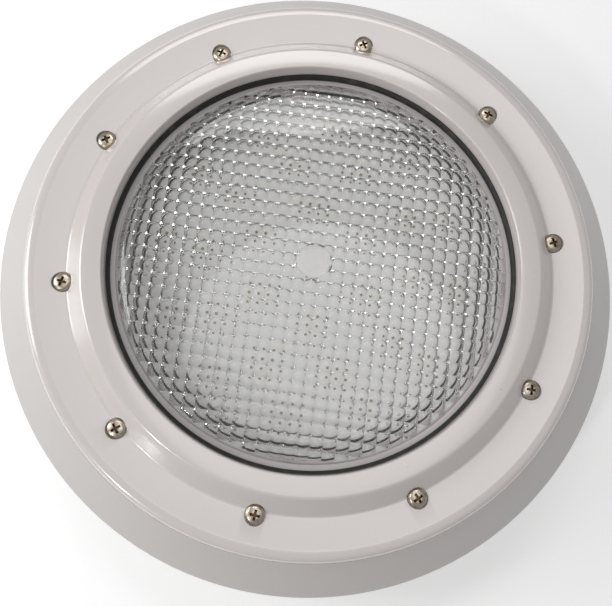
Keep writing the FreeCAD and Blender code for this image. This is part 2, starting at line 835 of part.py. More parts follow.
lead_start = s.driver_inner + s.driver_depth - s.driver_inset
lead_end = connector_end - s.connector_way / 2
lead_out = plate_radius + s.lead_margin
for name, x in (("lead_red", -s.lead_spacing / 2), ("lead_black", s.lead_spacing / 2)):
    lead = new_body(name)
    section = new_sketch(lead, name + "_section", "XY_Plane")
    section.AttachmentOffset = FreeCAD.Placement(FreeCAD.Vector(0, 0, 1), FreeCAD.Rotation())
    bind(section, "AttachmentOffset.Base.x", x)
    bind(section, "AttachmentOffset.Base.y", lead_start)
    bind(section, "AttachmentOffset.Base.z", driver_top)
    circle = Part.Circle(FreeCAD.Vector(0, 0, 0), FreeCAD.Vector(0, 0, 1), s.lead_radius.value)
    section.addGeometry(circle, False)
    section.addConstraint(Sketcher.Constraint("Coincident", 0, 3, -1, 1))
    rule = section.addConstraint(Sketcher.Constraint("Radius", 0, s.lead_radius.value))
    section.renameConstraint(rule, "radius")
    bind(section, "Constraints.radius", s.lead_radius)
    path = new_sketch(lead, name + "_path", "YZ_Plane")
    path.AttachmentOffset = FreeCAD.Placement(FreeCAD.Vector(0, 0, 1), FreeCAD.Rotation())
    bind(path, "AttachmentOffset.Base.z", x)
    draw_outline(path, [
        (lead_start, driver_top),
        (lead_start, driver_top + s.lead_rise),
        (lead_out, driver_top + s.lead_rise + s.lead_slope),
        (lead_out, lead_top),
        (lead_end, lead_top),
    ], closed=False)
    pipe = lead.newObject("PartDesign::AdditivePipe", name + "_wire")
    pipe.Profile = section
    pipe.Spine = (path, ["Edge1", "Edge2", "Edge3", "Edge4"])
    pipe.Transition = "Right corner"

# ---------------------------------------------------------------- cable gland
hex_bottom = well_under - s.gland_hex_height
gland_stub = s.well_level + s.locknut_height + s.thread_proud
oring_groove = well_under - s.oring_section * 2
gland = new_body("gland_body")
prism(gland, "gland_hexagon", s.gland_hex, hex_bottom, s.gland_hex_height)
cylinder(gland, "gland_thread", s.gland_shank, hex_bottom + s.sink, gland_stub - hex_bottom - s.sink)
cylinder(gland, "gland_barrel_tube", s.gland_barrel, s.gland_tip, hex_bottom - s.gland_tip + s.sink)
gland_open = s.gland_tip - s.past
cylinder(gland, "gland_cable_way", s.gland_bore - s.gland_shoulder, gland_open, gland_stub, cut=True)
cylinder(gland, "gland_seal_seat", s.gland_bore, gland_open, hex_bottom - gland_open, cut=True)
oring_room = s.oring_section + s.thread_play
revolve(gland, "gland_oring_groove", [
    (s.oring_circle - oring_room, oring_groove),
    (s.oring_circle + oring_room, oring_groove),
    (s.oring_circle + oring_room, well_under + s.sink),
    (s.oring_circle - oring_room, well_under + s.sink),
], cut=True)

seal = new_body("gland_seal")
seal_bottom = s.gland_tip - s.seal_proud
cylinder(seal, "seal_sleeve", s.gland_bore, seal_bottom, hex_bottom - seal_bottom)
cylinder(seal, "seal_bore", s.cable_radius, seal_bottom - s.past, hex_bottom, cut=True)

nut = new_body("gland_nut")
nut_bottom = s.gland_tip - s.nut_reach
prism(nut, "nut_hexagon", s.gland_hex, nut_bottom, hex_bottom - nut_bottom - s.nut_gap)
cylinder(nut, "nut_thread", s.gland_barrel + s.thread_play, seal_bottom, hex_bottom, cut=True)
cylinder(nut, "nut_mouth", s.cable_radius + s.nut_mouth_play, nut_bottom - s.past,
         s.nut_reach + s.past * 2, cut=True)

locknut = new_body("gland_locknut")
prism(locknut, "locknut_hexagon", s.gland_hex + s.locknut_margin, s.well_level, s.locknut_height)
cylinder(locknut, "locknut_thread", s.gland_shank + s.thread_play, s.well_level - s.past,
         s.locknut_height + s.past * 2, cut=True)

oring = new_body("gland_oring")
torus = oring.newObject("PartDesign::AdditiveTorus", "gland_oring_ring")
bind(torus, "Radius1", s.oring_circle)
bind(torus, "Radius2", s.oring_section)
place(torus, 0, 0, well_under - s.oring_section)

# ---------------------------------------------------------------- wall side
bracket = new_body("wall_bracket")
collar_inner = bracket_outer - s.collar_width
tab_bottom = s.collar_top - s.tab_thickness
revolve(bracket, "bracket_plate", [
    (s.bracket_inner, 0),
    (bracket_outer, 0),
    (bracket_outer, s.collar_top),
    (collar_inner, s.collar_top),
    (collar_inner, s.bracket_thickness),
    (s.bracket_inner, s.bracket_thickness),
])


def bracket_sector(name, bottom, top, angle, centre=None):
    return revolve(bracket, name, [
        (bracket_outer - s.sink, bottom),
        (tab_reach, bottom),
        (tab_reach, top),
        (bracket_outer - s.sink, top),
    ], angle=angle, centre=centre)


stop_centre = s.hook_start - s.twist - s.hook_angle / 2 - s.stop_play - s.stop_angle / 2
start_centre = s.hook_start + s.hook_angle / 2 + s.stop_play + s.stop_angle / 2
tab = bracket_sector("bracket_tab", tab_bottom, s.collar_top, s.tab_angle)
end_stop = bracket_sector("end_stop", s.bracket_thickness, tab_bottom + s.sink / 5, s.stop_angle, stop_centre)
start_stop = bracket_sector("start_stop", s.bracket_thickness, s.collar_top, s.stop_angle, start_centre)
around(bracket, "bracket_tabs", [tab, end_stop, start_stop], s.tab_count)
hole_x, hole_y = polar(s.wall_hole_circle, s.wall_hole_phase)
wall_hole = cylinder(
    bracket, "wall_hole", s.wall_hole_radius, -s.past, s.bracket_thickness + s.past * 2,
    hole_x, hole_y, cut=True
)
around(bracket, "wall_holes", [wall_hole], s.wall_hole_count)

wall_gasket = new_body("wall_gasket")
revolve(wall_gasket, "wall_gasket_section", [
    (gasket_inner, 0),
    (gasket_outer, 0),
    (gasket_outer, s.gasket_height),
    (gasket_inner, s.gasket_height),
])

bayonet = new_body("bayonet_ring")
revolve(bayonet, "bayonet_section", [
    (s.bayonet_inner, s.bayonet_bottom),
    (bayonet_outer, s.bayonet_bottom),
    (bayonet_outer, pan_under - s.wall),
    (bayonet_rim, pan_under - s.wall),
    (bayonet_rim, pan_under),
    (s.bayonet_inner, pan_under),
])
hook = revolve(bayonet, "bayonet_hook", [
    (hook_inner, s.hook_bottom),
    (s.bayonet_inner + s.sink, s.hook_bottom),
    (s.bayonet_inner + s.sink, tab_bottom - s.hook_play),
    (hook_inner, tab_bottom - s.hook_play),
], angle=s.hook_angle, centre=s.hook_start)
around(bayonet, "bayonet_hooks", [hook], s.tab_count)
flange_hole = cylinder(
    bayonet, "flange_hole", small_hole, pan_under - s.wall - s.past, s.wall + s.past * 2,
    bayonet_x, bayonet_y, cut=True
)
around(bayonet, "flange_holes", [flange_hole], s.bayonet_screw_count)
small_screws(
    "bayonet_screws", [(bayonet_x, bayonet_y)], pan_under - s.wall, s.wall + s.bayonet_bite,
    s.bayonet_screw_count, down=False
)

# ---------------------------------------------------------------- build and export
doc.recompute()
for item in doc.Objects:
    if "Invalid" in item.State or "Error" in item.State:
        raise RuntimeError("%s did not build" % item.Label)
for body in NODES:
    if body.Shape.isNull() or not body.Shape.isValid():
        raise RuntimeError("%s has no valid shape" % body.Label)

os.makedirs("parts", exist_ok=True)
for body in NODES:
    body.Shape.exportStep("parts/%s.step" % body.Label)
    print("%-20s %3d solids %12.1f mm3" % (body.Label, len(body.Shape.Solids), body.Shape.Volume))
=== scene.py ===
import math

import bpy
from mathutils import Matrix, Vector


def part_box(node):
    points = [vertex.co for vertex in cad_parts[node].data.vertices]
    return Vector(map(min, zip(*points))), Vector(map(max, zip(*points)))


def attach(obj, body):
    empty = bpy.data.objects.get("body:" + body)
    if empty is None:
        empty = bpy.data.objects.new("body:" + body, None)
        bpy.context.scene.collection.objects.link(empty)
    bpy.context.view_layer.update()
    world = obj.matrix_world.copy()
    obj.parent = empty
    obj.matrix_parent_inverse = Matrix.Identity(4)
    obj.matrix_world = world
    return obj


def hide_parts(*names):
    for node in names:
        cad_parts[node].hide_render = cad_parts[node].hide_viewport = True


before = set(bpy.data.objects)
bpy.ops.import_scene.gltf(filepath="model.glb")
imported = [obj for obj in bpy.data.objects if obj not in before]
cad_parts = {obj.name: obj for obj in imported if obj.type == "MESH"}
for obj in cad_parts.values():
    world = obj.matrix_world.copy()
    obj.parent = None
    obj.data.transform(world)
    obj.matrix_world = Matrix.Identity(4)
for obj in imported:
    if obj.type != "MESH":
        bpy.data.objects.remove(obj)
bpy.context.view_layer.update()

bl_info = {
    "name": "Pool lamp",
    "version": (1, 0, 0),
    "blender": (4, 5, 0),
    "location": "View3D > Sidebar > Pool lamp",
    "description": "Surface-mounted underwater lamp with a prismatic lens",
    "category": "Object",
}

MM = 0.001
GASKET_LIP = 89.8 * MM
LENS_FLANGE = 2.9 * MM
AXIS_GAP = 0.02 * MM
SCREW_COUNT = 10
SCREW_PHASE = 5.2
SCREW_HEAD_HEIGHT = 2.9 * MM
SCREW_SHANK = 1.95 * MM
SCREW_LENGTH = 13.6 * MM
SPOT_FACE = 4.5 * MM
RECESS_ARM = (7.5 * MM, 1.35 * MM, 3.6 * MM)
RECESS_TAPER = (0.35, 0.7)
RECESS_LIFT = 0.3 * MM
RECESS_TURN = 17
CELL_COUNT = 33
CELL_FACETS = 8
CELL_TURN = -7.4
RING_LOW, RING_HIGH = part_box("front_ring")
LENS_LOW, LENS_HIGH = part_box("lens")
GASKET_LOW, GASKET_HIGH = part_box("lens_gasket")
SCREW_LOW, SCREW_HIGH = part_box("ring_screws")


def length(name, description, default):
    return bpy.props.FloatProperty(
        name=name, description=description, default=default, unit="LENGTH", precision=5
    )


def level(name, description, default):
    return bpy.props.FloatProperty(name=name, description=description, default=default)


def colour(name, description, default):
    return bpy.props.FloatVectorProperty(
        name=name, description=description, default=default, subtype="COLOR", size=3, min=0.0, max=1.0
    )


class LampSizes(bpy.types.PropertyGroup):
    """Sizes of the modelled pieces."""

    ring_outer: length("Ring radius", "Outer radius of the front ring", RING_HIGH.x)
    land_level: length("Land level", "Height of the ring's flat inner land", RING_HIGH.z)
    deck_level: length("Deck level", "Height of the deck under the ring", RING_LOW.z)
    bead_drop: length("Bead drop", "From the land down to the outer bead", 3.5 * MM)
    bead_inner: length("Bead inner radius", "Where the bead falls into the channel", 120.4 * MM)
    step_foot: length("Step foot radius", "Where the channel meets the step", 108.0 * MM)
    step_foot_drop: length("Step foot drop", "From the land down to the step's foot", 7.6 * MM)
    step_top: length("Step top radius", "Where the step meets the land", 100.0 * MM)
    mouth: length("Mouth radius", "Radius of the ring's opening", 91.0 * MM)
    mouth_depth: length("Mouth depth", "Height of the wall round the opening", 6.4 * MM)
    screw_circle: length("Screw circle", "Radius of the circle of ring screws", 109.5 * MM)
    screw_head: length("Screw head radius", "Radius of a ring screw's head", 4.1 * MM)
    screw_seat: length("Screw seat", "Height of the face under the heads", SCREW_HIGH.z - SCREW_HEAD_HEIGHT)
    cell: length("Cell pitch", "Side of one square dimple inside the lens", 5.57 * MM)
    cell_rise: length("Cell rise", "From a dimple's corners to its middle", 2.0 * MM)
    lens_wall: length("Lens wall", "Thickness of the lens at the middle of a dimple", 1.6 * MM)
    shoulder: length("Lens shoulder radius", "Where the face of the lens ends", 87.3 * MM)
    lens_boss: length("Lens boss radius", "Radius of the smooth disc at the centre", 7.7 * MM)


class LampColours(bpy.types.PropertyGroup):
    """Base colours of the finishes."""

    ring: colour("Ring", "Glossy plastic of the front ring", (0.70, 0.650, 0.632))
    housing: colour("Housing", "Glossy plastic of the housing", (0.60, 0.572, 0.556))
    screw: colour("Screws", "Stained stainless steel", (0.66, 0.60, 0.52))
    lens: colour("Lens", "Clear polycarbonate", (0.90, 0.91, 0.92))
    rubber: colour("Rubber", "Black rubber", (0.012, 0.011, 0.010))
    board: colour("Board", "White solder mask", (0.69, 0.68, 0.655))


class StageSettings(bpy.types.PropertyGroup):
    """Floor, lights and camera."""

    camera_place: bpy.props.FloatVectorProperty(
        name="Camera place", description="Where the camera stands",
        default=(-0.01364, -0.06404, 0.30121), subtype="TRANSLATION", unit="LENGTH"
    )
    camera_aim: bpy.props.FloatVectorProperty(
        name="Camera aim", description="The point that the camera looks at",
        default=(-0.0033, -0.0184, 0.051), subtype="TRANSLATION", unit="LENGTH"
    )
    camera_lens: level("Focal length", "In millimetres", 34.08)
    side_power: level("Side power", "Power of the broad side light", 2.9)
    far_power: level("Far power", "Power of the low softbox behind", 1.7)
    above_power: level("Above power", "Power of the light above", 3.4)
    spark_power: level("Spark power", "Power of the small light", 1.2)
    world_level: level("World", "Brightness of the surroundings", 0.29)
    floor_glow: level("Floor glow", "Light from the backlit floor", 0.22)


# ------------------------------------------------------------------ shader maths
class Value:
    """One output socket; arithmetic on it adds Math nodes."""

    def __init__(self, shader, socket):
        self.shader = shader
        self.socket = socket

    def math(self, operation, *others):
        inputs = {0: self}
        for number, other in enumerate(others, start=1):
            inputs[number] = other
        return self.shader.node("ShaderNodeMath", {"operation": operation}, inputs).value()

    def reflected(self, operation, other):
        return self.shader.node("ShaderNodeMath", {"operation": operation}, {0: other, 1: self}).value()

    def __add__(self, other):
        return self.math("ADD", other)

    def __radd__(self, other):
        return self.reflected("ADD", other)

    def __sub__(self, other):
        return self.math("SUBTRACT", other)

    def __rsub__(self, other):
        return self.reflected("SUBTRACT", other)

    def __mul__(self, other):
        return self.math("MULTIPLY", other)

    def __rmul__(self, other):
        return self.reflected("MULTIPLY", other)

    def __truediv__(self, other):
        return self.math("DIVIDE", other)

    def above(self, limit, softness):
        """0 below the limit and 1 above it, with a soft edge."""
        return self.shader.node(
            "ShaderNodeMapRange", {"interpolation_type": "SMOOTHSTEP"},
            {"Value": self, "From Min": limit - softness, "From Max": limit + softness}
        ).value()


class Made:
    """A node that has been added, with its outputs at hand."""

    def __init__(self, shader, node):
        self.shader = shader
        self.node = node

    def value(self, name=0):
        return Value(self.shader, self.node.outputs[name])


class Shader:
    """A material under construction."""

    def __init__(self, name):
        self.material = bpy.data.materials.new(name)
        self.material.use_nodes = True
        self.tree = self.material.node_tree
        self.tree.nodes.clear()

    def node(self, kind, settings=None, inputs=None):
        node = self.tree.nodes.new(kind)
        for name, setting in (settings or {}).items():
            setattr(node, name, setting)
        for name, value in (inputs or {}).items():
            if isinstance(value, Value):
                self.tree.links.new(value.socket, node.inputs[name])
            else:
                node.inputs[name].default_value = value
        return Made(self, node)

    def place(self):
        """Object coordinates in metres."""
        return self.node("ShaderNodeTexCoord").value("Object")

    def noise(self, scale, detail=3.0, roughness=0.5):
        return self.node(
            "ShaderNodeTexNoise", None,
            {"Vector": self.place(), "Scale": scale, "Detail": detail, "Roughness": roughness}
        ).value("Fac")

    def specks(self, scale, size):
        """Small round spots, 1 inside a spot."""
        distance = self.node(
            "ShaderNodeTexVoronoi", None, {"Vector": self.place(), "Scale": scale}
        ).value("Distance")
        return 1.0 - distance.above(size, size * 0.4)

    def mix(self, factor, first, second):
        return self.node(
            "ShaderNodeMix", {"data_type": "RGBA"}, {"Factor": factor, 6: first, 7: second}
        ).value(2)

    def bump(self, height, strength, distance):
        return self.node(
            "ShaderNodeBump", None, {"Height": height, "Strength": strength, "Distance": distance}
        ).value("Normal")

    def finish(self, inputs):
        surface = self.node("ShaderNodeBsdfPrincipled", None, inputs).value("BSDF")
        self.node("ShaderNodeOutputMaterial", None, {"Surface": surface})
        return self.material


def rgba(rgb, scale=1.0):
    return tuple(channel * scale for channel in rgb) + (1.0,)


# ------------------------------------------------------------------ finishes
def glossy_abs(name, rgb, roughness, coat):
    """Moulded off-white ABS: faint mottle, a few specks of dirt and a fine skin."""
    shader = Shader(name)
    mottle = shader.noise(18.0, 4.0)
    dirt_and_painted_shade = shader.specks(95.0, 0.035) * shader.noise(9.0).above(0.55, 0.08)
    base = shader.mix(mottle, rgba(rgb, 0.975), rgba(rgb, 1.02))
    base = shader.mix(dirt_and_painted_shade * 0.45, base, rgba((0.36, 0.32, 0.29)))
    skin = shader.noise(900.0, 2.0)
    return shader.finish({
        "Base Color": base,
        "Roughness": roughness + shader.noise(60.0, 3.0) * 0.10,
        "Normal": shader.bump(skin, 0.05, 0.0003),
        "IOR": 1.52,
        "Coat Weight": coat,
        "Coat IOR": 1.6,
        "Coat Roughness": 0.12,
    })


def satin_abs(name, rgb):
    """Satin moulded plastic of the hidden wall side."""
    shader = Shader(name)
    grain = shader.noise(700.0, 3.0)
    base = shader.mix(shader.noise(14.0, 4.0), rgba(rgb, 0.96), rgba(rgb, 1.02))
    return shader.finish({
        "Base Color": base,
        "Roughness": 0.42 + grain * 0.12,
        "Normal": shader.bump(grain, 0.15, 0.0004),
        "IOR": 1.52,
    })


def black_rubber(name, rgb):
    """Rubber with a dull bloom and small surface nicks."""
    shader = Shader(name)
    bloom = shader.noise(120.0, 5.0, 0.65)
    base = shader.mix(bloom.above(0.62, 0.12), rgba(rgb), rgba((0.055, 0.050, 0.046)))
    return shader.finish({
        "Base Color": base,
        "Roughness": 0.42 + bloom * 0.25,
        "Normal": shader.bump(shader.noise(1500.0, 3.0), 0.25, 0.0004),
    })


def stained_steel(name, rgb):
    """Stainless steel with a light brassy stain, and dark brown painted into the cross recesses as painted
    shade, partly dirt.
    """
    shader = Shader(name)
    stain = shader.noise(420.0, 4.0, 0.6)
    # The recess attribute is used to paint the cross recesses dark brown: painted shade, partly dirt.
    dirt_and_painted_shade = shader.node("ShaderNodeAttribute", {"attribute_name": "recess"}).value("Fac")
    base = shader.mix(stain.above(0.55, 0.16), rgba(rgb), rgba((0.46, 0.35, 0.22)))
    base = shader.mix(dirt_and_painted_shade.above(0.35, 0.25) * 0.92, base, rgba((0.10, 0.055, 0.03)))
    return shader.finish({
        "Base Color": base,
        "Metallic": 1.0,
        "Roughness": 0.22 + stain * 0.22,
        "Normal": shader.bump(shader.noise(1800.0, 3.0), 0.12, 0.0003),
    })


def plain_metal(name, rgb, roughness):
    """Metal with a fine drawn grain."""
    shader = Shader(name)
    grain = shader.noise(1100.0, 3.0)
    base = shader.mix(grain, rgba(rgb, 0.93), rgba(rgb, 1.04))
    return shader.finish({
        "Base Color": base,
        "Metallic": 1.0,
        "Roughness": roughness + grain * 0.12,
        "Normal": shader.bump(grain, 0.08, 0.0003),
    })


def moulded(name, rgb, roughness):
    """Small moulded plastic parts."""
    shader = Shader(name)
    grain = shader.noise(1300.0, 3.0)
    base = shader.mix(shader.noise(150.0, 3.0), rgba(rgb, 0.9), rgba(rgb, 1.08))
    return shader.finish({
        "Base Color": base,
        "Roughness": roughness + grain * 0.15,
        "Normal": shader.bump(grain, 0.12, 0.0003),
    })


def solder_mask(name, rgb, track_rgb):
    """Printed board: solder mask over faint copper tracks."""
    shader = Shader(name)
    cells = shader.node(
        "ShaderNodeTexVoronoi", {"feature": "DISTANCE_TO_EDGE"}, {"Vector": shader.place(), "Scale": 70.0}
    ).value("Distance")
    track = 1.0 - cells.above(0.05, 0.03)
    base = shader.mix(track * 0.5, rgba(rgb), rgba(track_rgb))
    return shader.finish({
        "Base Color": base,
        "Roughness": 0.34 + track * 0.12,
        "Normal": shader.bump(track, 0.2, 0.0002),
    })


def coil_wire(name, rgb):
    """Closely wound enamelled copper wire."""
    shader = Shader(name)
    wave = shader.node(
        "ShaderNodeTexWave", {"bands_direction": "Z"},
        {"Vector": shader.place(), "Scale": 420.0, "Distortion": 0.6}
    ).value("Fac")
    return shader.finish({
        "Base Color": shader.mix(wave, rgba(rgb, 0.45), rgba(rgb, 1.05)),
        "Metallic": 0.8,
        "Roughness": 0.35 + wave * 0.1,
        "Normal": shader.bump(wave, 0.5, 0.0004),
    })


def clear_lens(name, rgb, boss_radius, rim_radius):
    """Clear polycarbonate, milky at the small disc at its centre and along its rim."""
    shader = Shader(name)
    parts = shader.node("ShaderNodeSeparateXYZ", None, {"Vector": shader.place()})
    x, y = parts.value("X"), parts.value("Y")
    radius = (x * x + y * y).math("SQRT")
    boss = 1.0 - radius.above(boss_radius * 0.8, boss_radius * 0.25)
    milk = boss * 0.30 + radius.above(rim_radius, 0.0004) * 0.62
    haze = shader.noise(260.0, 3.0)
    clear = shader.node("ShaderNodeBsdfPrincipled", None, {
        "Base Color": shader.mix(haze, rgba(rgb), rgba(rgb, 0.98)),
        "Roughness": 0.02 + haze * 0.04,
        "IOR": 1.58,
        "Transmission Weight": 1.0,
    }).value("BSDF")
    milky = shader.node("ShaderNodeBsdfPrincipled", None, {
        "Base Color": shader.mix(haze, (0.66, 0.62, 0.61, 1.0), (0.70, 0.66, 0.65, 1.0)),
        "Roughness": 0.30 + haze * 0.1,
    }).value("BSDF")
    surface = shader.node("ShaderNodeMixShader", None, {"Fac": milk, 1: clear, 2: milky}).value("Shader")
    shader.node("ShaderNodeOutputMaterial", None, {"Surface": surface})
    return shader.material


def silicone_dome(name, rgb):
    """Clear dome over an amber phosphor."""
    shader = Shader(name)
    glow = shader.noise(900.0, 2.0)
    return shader.finish({
        "Base Color": shader.mix(glow, rgba(rgb, 0.7), rgba(rgb, 1.15)),
        "Roughness": 0.10 + glow * 0.06,
        "Coat Weight": 0.6,
        "Coat Roughness": 0.05,
    })


def pale_floor(name, rgb, glow):
    """Matt white table, lit softly from below."""
    shader = Shader(name)
    return shader.finish({
        "Base Color": shader.mix(shader.noise(3.0, 2.0), rgba(rgb, 0.99), rgba(rgb)),
        "Roughness": 0.9,
        "Emission Color": (1.0, 1.0, 1.0, 1.0),
        "Emission Strength": glow,
    })


def dress(node_name, material):
    """Give a carried-over CAD node its finish."""
    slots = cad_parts[node_name].data.materials
    slots.clear()
    slots.append(material)


# ------------------------------------------------------------------ modelling helpers
def deselect():
    if bpy.context.mode != "OBJECT":
        bpy.ops.object.mode_set(mode="OBJECT")
    bpy.ops.object.select_all(action="DESELECT")


def name_piece(piece, name, material):
    piece.name = name
    piece.data.name = name
    piece.data.materials.clear()
    piece.data.materials.append(material)
    return piece


def rounded(corners, steps=6):
    """Points of an outline whose corners (radius, height, round) are arcs."""
    points = []
    count = len(corners)
    for i, (r, z, size) in enumerate(corners):
        here = Vector((r, z))
        if size <= 0:
            points.append(here)
            continue
        before = (Vector(corners[i - 1][:2]) - here).normalized()
        after = (Vector(corners[(i + 1) % count][:2]) - here).normalized()
        half = before.angle(after) / 2
        reach = size / math.tan(half)
        centre = here + (before + after).normalized() * (size / math.sin(half))
        start = here + before * reach - centre
        end = here + after * reach - centre
        sweep = start.angle_signed(end)
        for step in range(steps + 1):
            turn = -sweep * step / steps
            points.append(centre + Matrix.Rotation(turn, 2) @ start)
    return points


def lathe(name, corners, material, segments=256, closed=True, smooth=30.0):
    """Turn an outline about Z: a circle is extruded and scaled from point to point."""
    points = rounded(corners)
    deselect()
    first = points[0]
    bpy.ops.mesh.primitive_circle_add(vertices=segments, radius=first.x, location=(0, 0, 0))
    piece = bpy.context.object
    bpy.ops.object.mode_set(mode="EDIT")
    bpy.ops.mesh.select_all(action="SELECT")
    bpy.ops.transform.translate(value=(0, 0, first.y))
    path = points[1:] + ([first] if closed else [])
    here = first
    for point in path:
        bpy.ops.mesh.extrude_edges_move(TRANSFORM_OT_translate={"value": (0, 0, point.y - here.y)})
        scale = point.x / here.x
        bpy.ops.transform.resize(value=(scale, scale, 1), center_override=(0, 0, 0))
        here = point
    bpy.ops.mesh.select_all(action="SELECT")
    bpy.ops.mesh.remove_doubles(threshold=1e-6)
    bpy.ops.mesh.normals_make_consistent(inside=False)
    bpy.ops.object.mode_set(mode="OBJECT")
    name_piece(piece, name, material)
    bpy.ops.object.shade_smooth_by_angle(angle=math.radians(smooth))
    return piece


def use_boolean(piece, cutter, operation):
    deselect()
    bpy.context.view_layer.objects.active = piece
    piece.select_set(True)
    bpy.ops.object.modifier_add(type="BOOLEAN")
    modifier = piece.modifiers[-1]
    modifier.operation = operation
    modifier.solver = "EXACT"
    modifier.object = cutter
    bpy.ops.object.modifier_apply(modifier=modifier.name)
    bpy.data.objects.remove(cutter)


def copies_round(source, count, phase, name):
    """Copy a piece, each copy with its own mesh, evenly about Z."""
    made = []
    for i in range(count):
        twin = source.copy()
        twin.data = source.data.copy()
        bpy.context.scene.collection.objects.link(twin)
        twin.name = "%s_%02d" % (name, i + 1)
        twin.data.name = twin.name
        twin.data.transform(Matrix.Rotation(math.radians(phase + 360.0 * i / count), 4, "Z"))
        made.append(twin)
    bpy.data.objects.remove(source)
    return made


# ------------------------------------------------------------------ pieces
def ring_outline(s):
    wall = 3.0 * MM
    land = s.land_level
    bead = land - s.bead_drop
    deck = s.deck_level
    outer = s.ring_outer
    return [
        (outer, deck, 0),
        (outer, bead, 3.2 * MM),
        (s.bead_inner, bead, 1.8 * MM),
        (s.step_foot, land - s.step_foot_drop, 1.8 * MM),
        (s.step_top, land, 2.4 * MM),
        (s.mouth, land, 0.8 * MM),
        (s.mouth, land - s.mouth_depth, 0.3 * MM),
        (s.mouth + wall, land - s.mouth_depth, 0),
        (s.mouth + wall, land - wall, 0),
        (s.step_top - 1.0 * MM, land - wall, 0),
        (s.step_top + 3.5 * MM, land - s.mouth_depth, 0),
        (s.step_top + 3.5 * MM, deck, 0),
        (s.screw_circle + 3.5 * MM, deck, 0),
        (s.screw_circle + 3.5 * MM, land - s.step_foot_drop - 1.6 * MM, 0),
        (outer - wall, bead - 3.2 * MM, 0),
        (outer - wall, deck, 0),
    ]


class LAMP_OT_front_ring(bpy.types.Operator):
    """Model the front ring with its bead, channel, step, land and screw seats"""

    bl_idname = "lamp.front_ring"
    bl_label = "Front ring"

    def execute(self, context):
        s = context.scene.lamp_sizes
        finish = glossy_abs("ring_gloss", context.scene.lamp_colours.ring, 0.20, 1.0)
        ring = lathe("front_ring_shell", ring_outline(s), finish, segments=360)
        deselect()
        bpy.ops.mesh.primitive_cylinder_add(
            vertices=40, radius=SPOT_FACE, depth=12.0 * MM,
            location=(s.screw_circle, 0, s.screw_seat + 6.0 * MM)
        )
        drill = bpy.context.object
        drill.data.transform(drill.matrix_world)
        drill.matrix_world = Matrix.Identity(4)
        drills = copies_round(drill, SCREW_COUNT, SCREW_PHASE, "drill")
        deselect()
        for tool in drills:
            tool.select_set(True)
        bpy.context.view_layer.objects.active = drills[0]
        bpy.ops.object.join()
        use_boolean(ring, bpy.context.object, "DIFFERENCE")
        bpy.ops.object.shade_smooth_by_angle(angle=math.radians(30.0))
        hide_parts("front_ring")
        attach(ring, "lamp")
        return {"FINISHED"}


class LAMP_OT_ring_screws(bpy.types.Operator):
    """Model the pan-head ring screws with their cross recesses"""

    bl_idname = "lamp.ring_screws"
    bl_label = "Ring screws"

    def execute(self, context):
        s = context.scene.lamp_sizes
        finish = stained_steel("screw_steel", context.scene.lamp_colours.screw)
        head, seat = s.screw_head, s.screw_seat
        high = SCREW_HEAD_HEIGHT
        shank = SCREW_SHANK
        tip = seat - SCREW_LENGTH
        screw = lathe("screw", [
            (AXIS_GAP, tip, 0),
            (shank - 0.8 * MM, tip, 0),
            (shank, tip + 1.0 * MM, 0),
            (shank, seat, 0),
            (head, seat, 0.15 * MM),
            (head, seat + high * 0.52, 0.9 * MM),
            (head * 0.80, seat + high * 0.86, 1.6 * MM),
            (head * 0.40, seat + high * 0.995, 1.2 * MM),
            (AXIS_GAP, seat + high, 0),
        ], finish, segments=64, smooth=40.0)
        arms = []
        for turn in (0.0, 90.0):
            deselect()
            bpy.ops.mesh.primitive_cube_add(size=1.0)
            arm = bpy.context.object
            bpy.ops.object.mode_set(mode="EDIT")
            bpy.ops.transform.resize(value=RECESS_ARM)
            bpy.ops.object.mode_set(mode="OBJECT")
            for vertex in arm.data.vertices:
                if vertex.co.z < 0:
                    vertex.co.x *= RECESS_TAPER[0]
                    vertex.co.y *= RECESS_TAPER[1]
            lift = Matrix.Translation((0, 0, seat + high + RECESS_LIFT))
            arm.data.transform(lift @ Matrix.Rotation(math.radians(turn + RECESS_TURN), 4, "Z"))
            arms.append(arm)
        for arm in arms:
            use_boolean(screw, arm, "DIFFERENCE")
        bpy.ops.object.shade_smooth_by_angle(angle=math.radians(35.0))
        # Mark the cross-recess vertices; the steel finish paints them dark brown as painted shade, partly
        # dirt.
        recess = screw.data.attributes.new("recess", "FLOAT", "POINT")
        for vertex in screw.data.vertices:
            near = math.hypot(vertex.co.x, vertex.co.y) < head * 0.6
            deep = seat + 0.1 * MM < vertex.co.z < seat + high * 0.75
            recess.data[vertex.index].value = 1.0 if near and deep else 0.0
        turned = []
        for i in range(SCREW_COUNT):
            twin = screw.copy()
            twin.data = screw.data.copy()
            bpy.context.scene.collection.objects.link(twin)
            twin.name = "ring_screw_%02d" % (i + 1)
            twin.data.name = twin.name
            angle = math.radians(SCREW_PHASE + 360.0 * i / SCREW_COUNT)
            own_turn = math.radians((i * 47) % 90)
            twin.data.transform(Matrix.Rotation(own_turn, 4, "Z"))
            place = Vector((math.cos(angle), math.sin(angle), 0)) * s.screw_circle
            twin.data.transform(Matrix.Translation(place))
            turned.append(twin)
        bpy.data.objects.remove(screw)
        for twin in turned:
            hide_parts("ring_screws")
            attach(twin, "lamp")
        return {"FINISHED"}


def crown(s, radius):
    """Height of the lens face at a radius: a shallow dome that rolls over at the shoulder."""
    top = LENS_HIGH.z - 0.4 * MM
    fall = 0.9 * MM * (radius / (0.8 * s.shoulder)) ** 2
    edge = max(0.0, (radius - 0.86 * s.shoulder) / (0.14 * s.shoulder))
    drop = 3.0 * MM * (1.0 - math.sqrt(max(0.0, 1.0 - min(edge, 1.0) ** 2)))
    return top - fall - drop


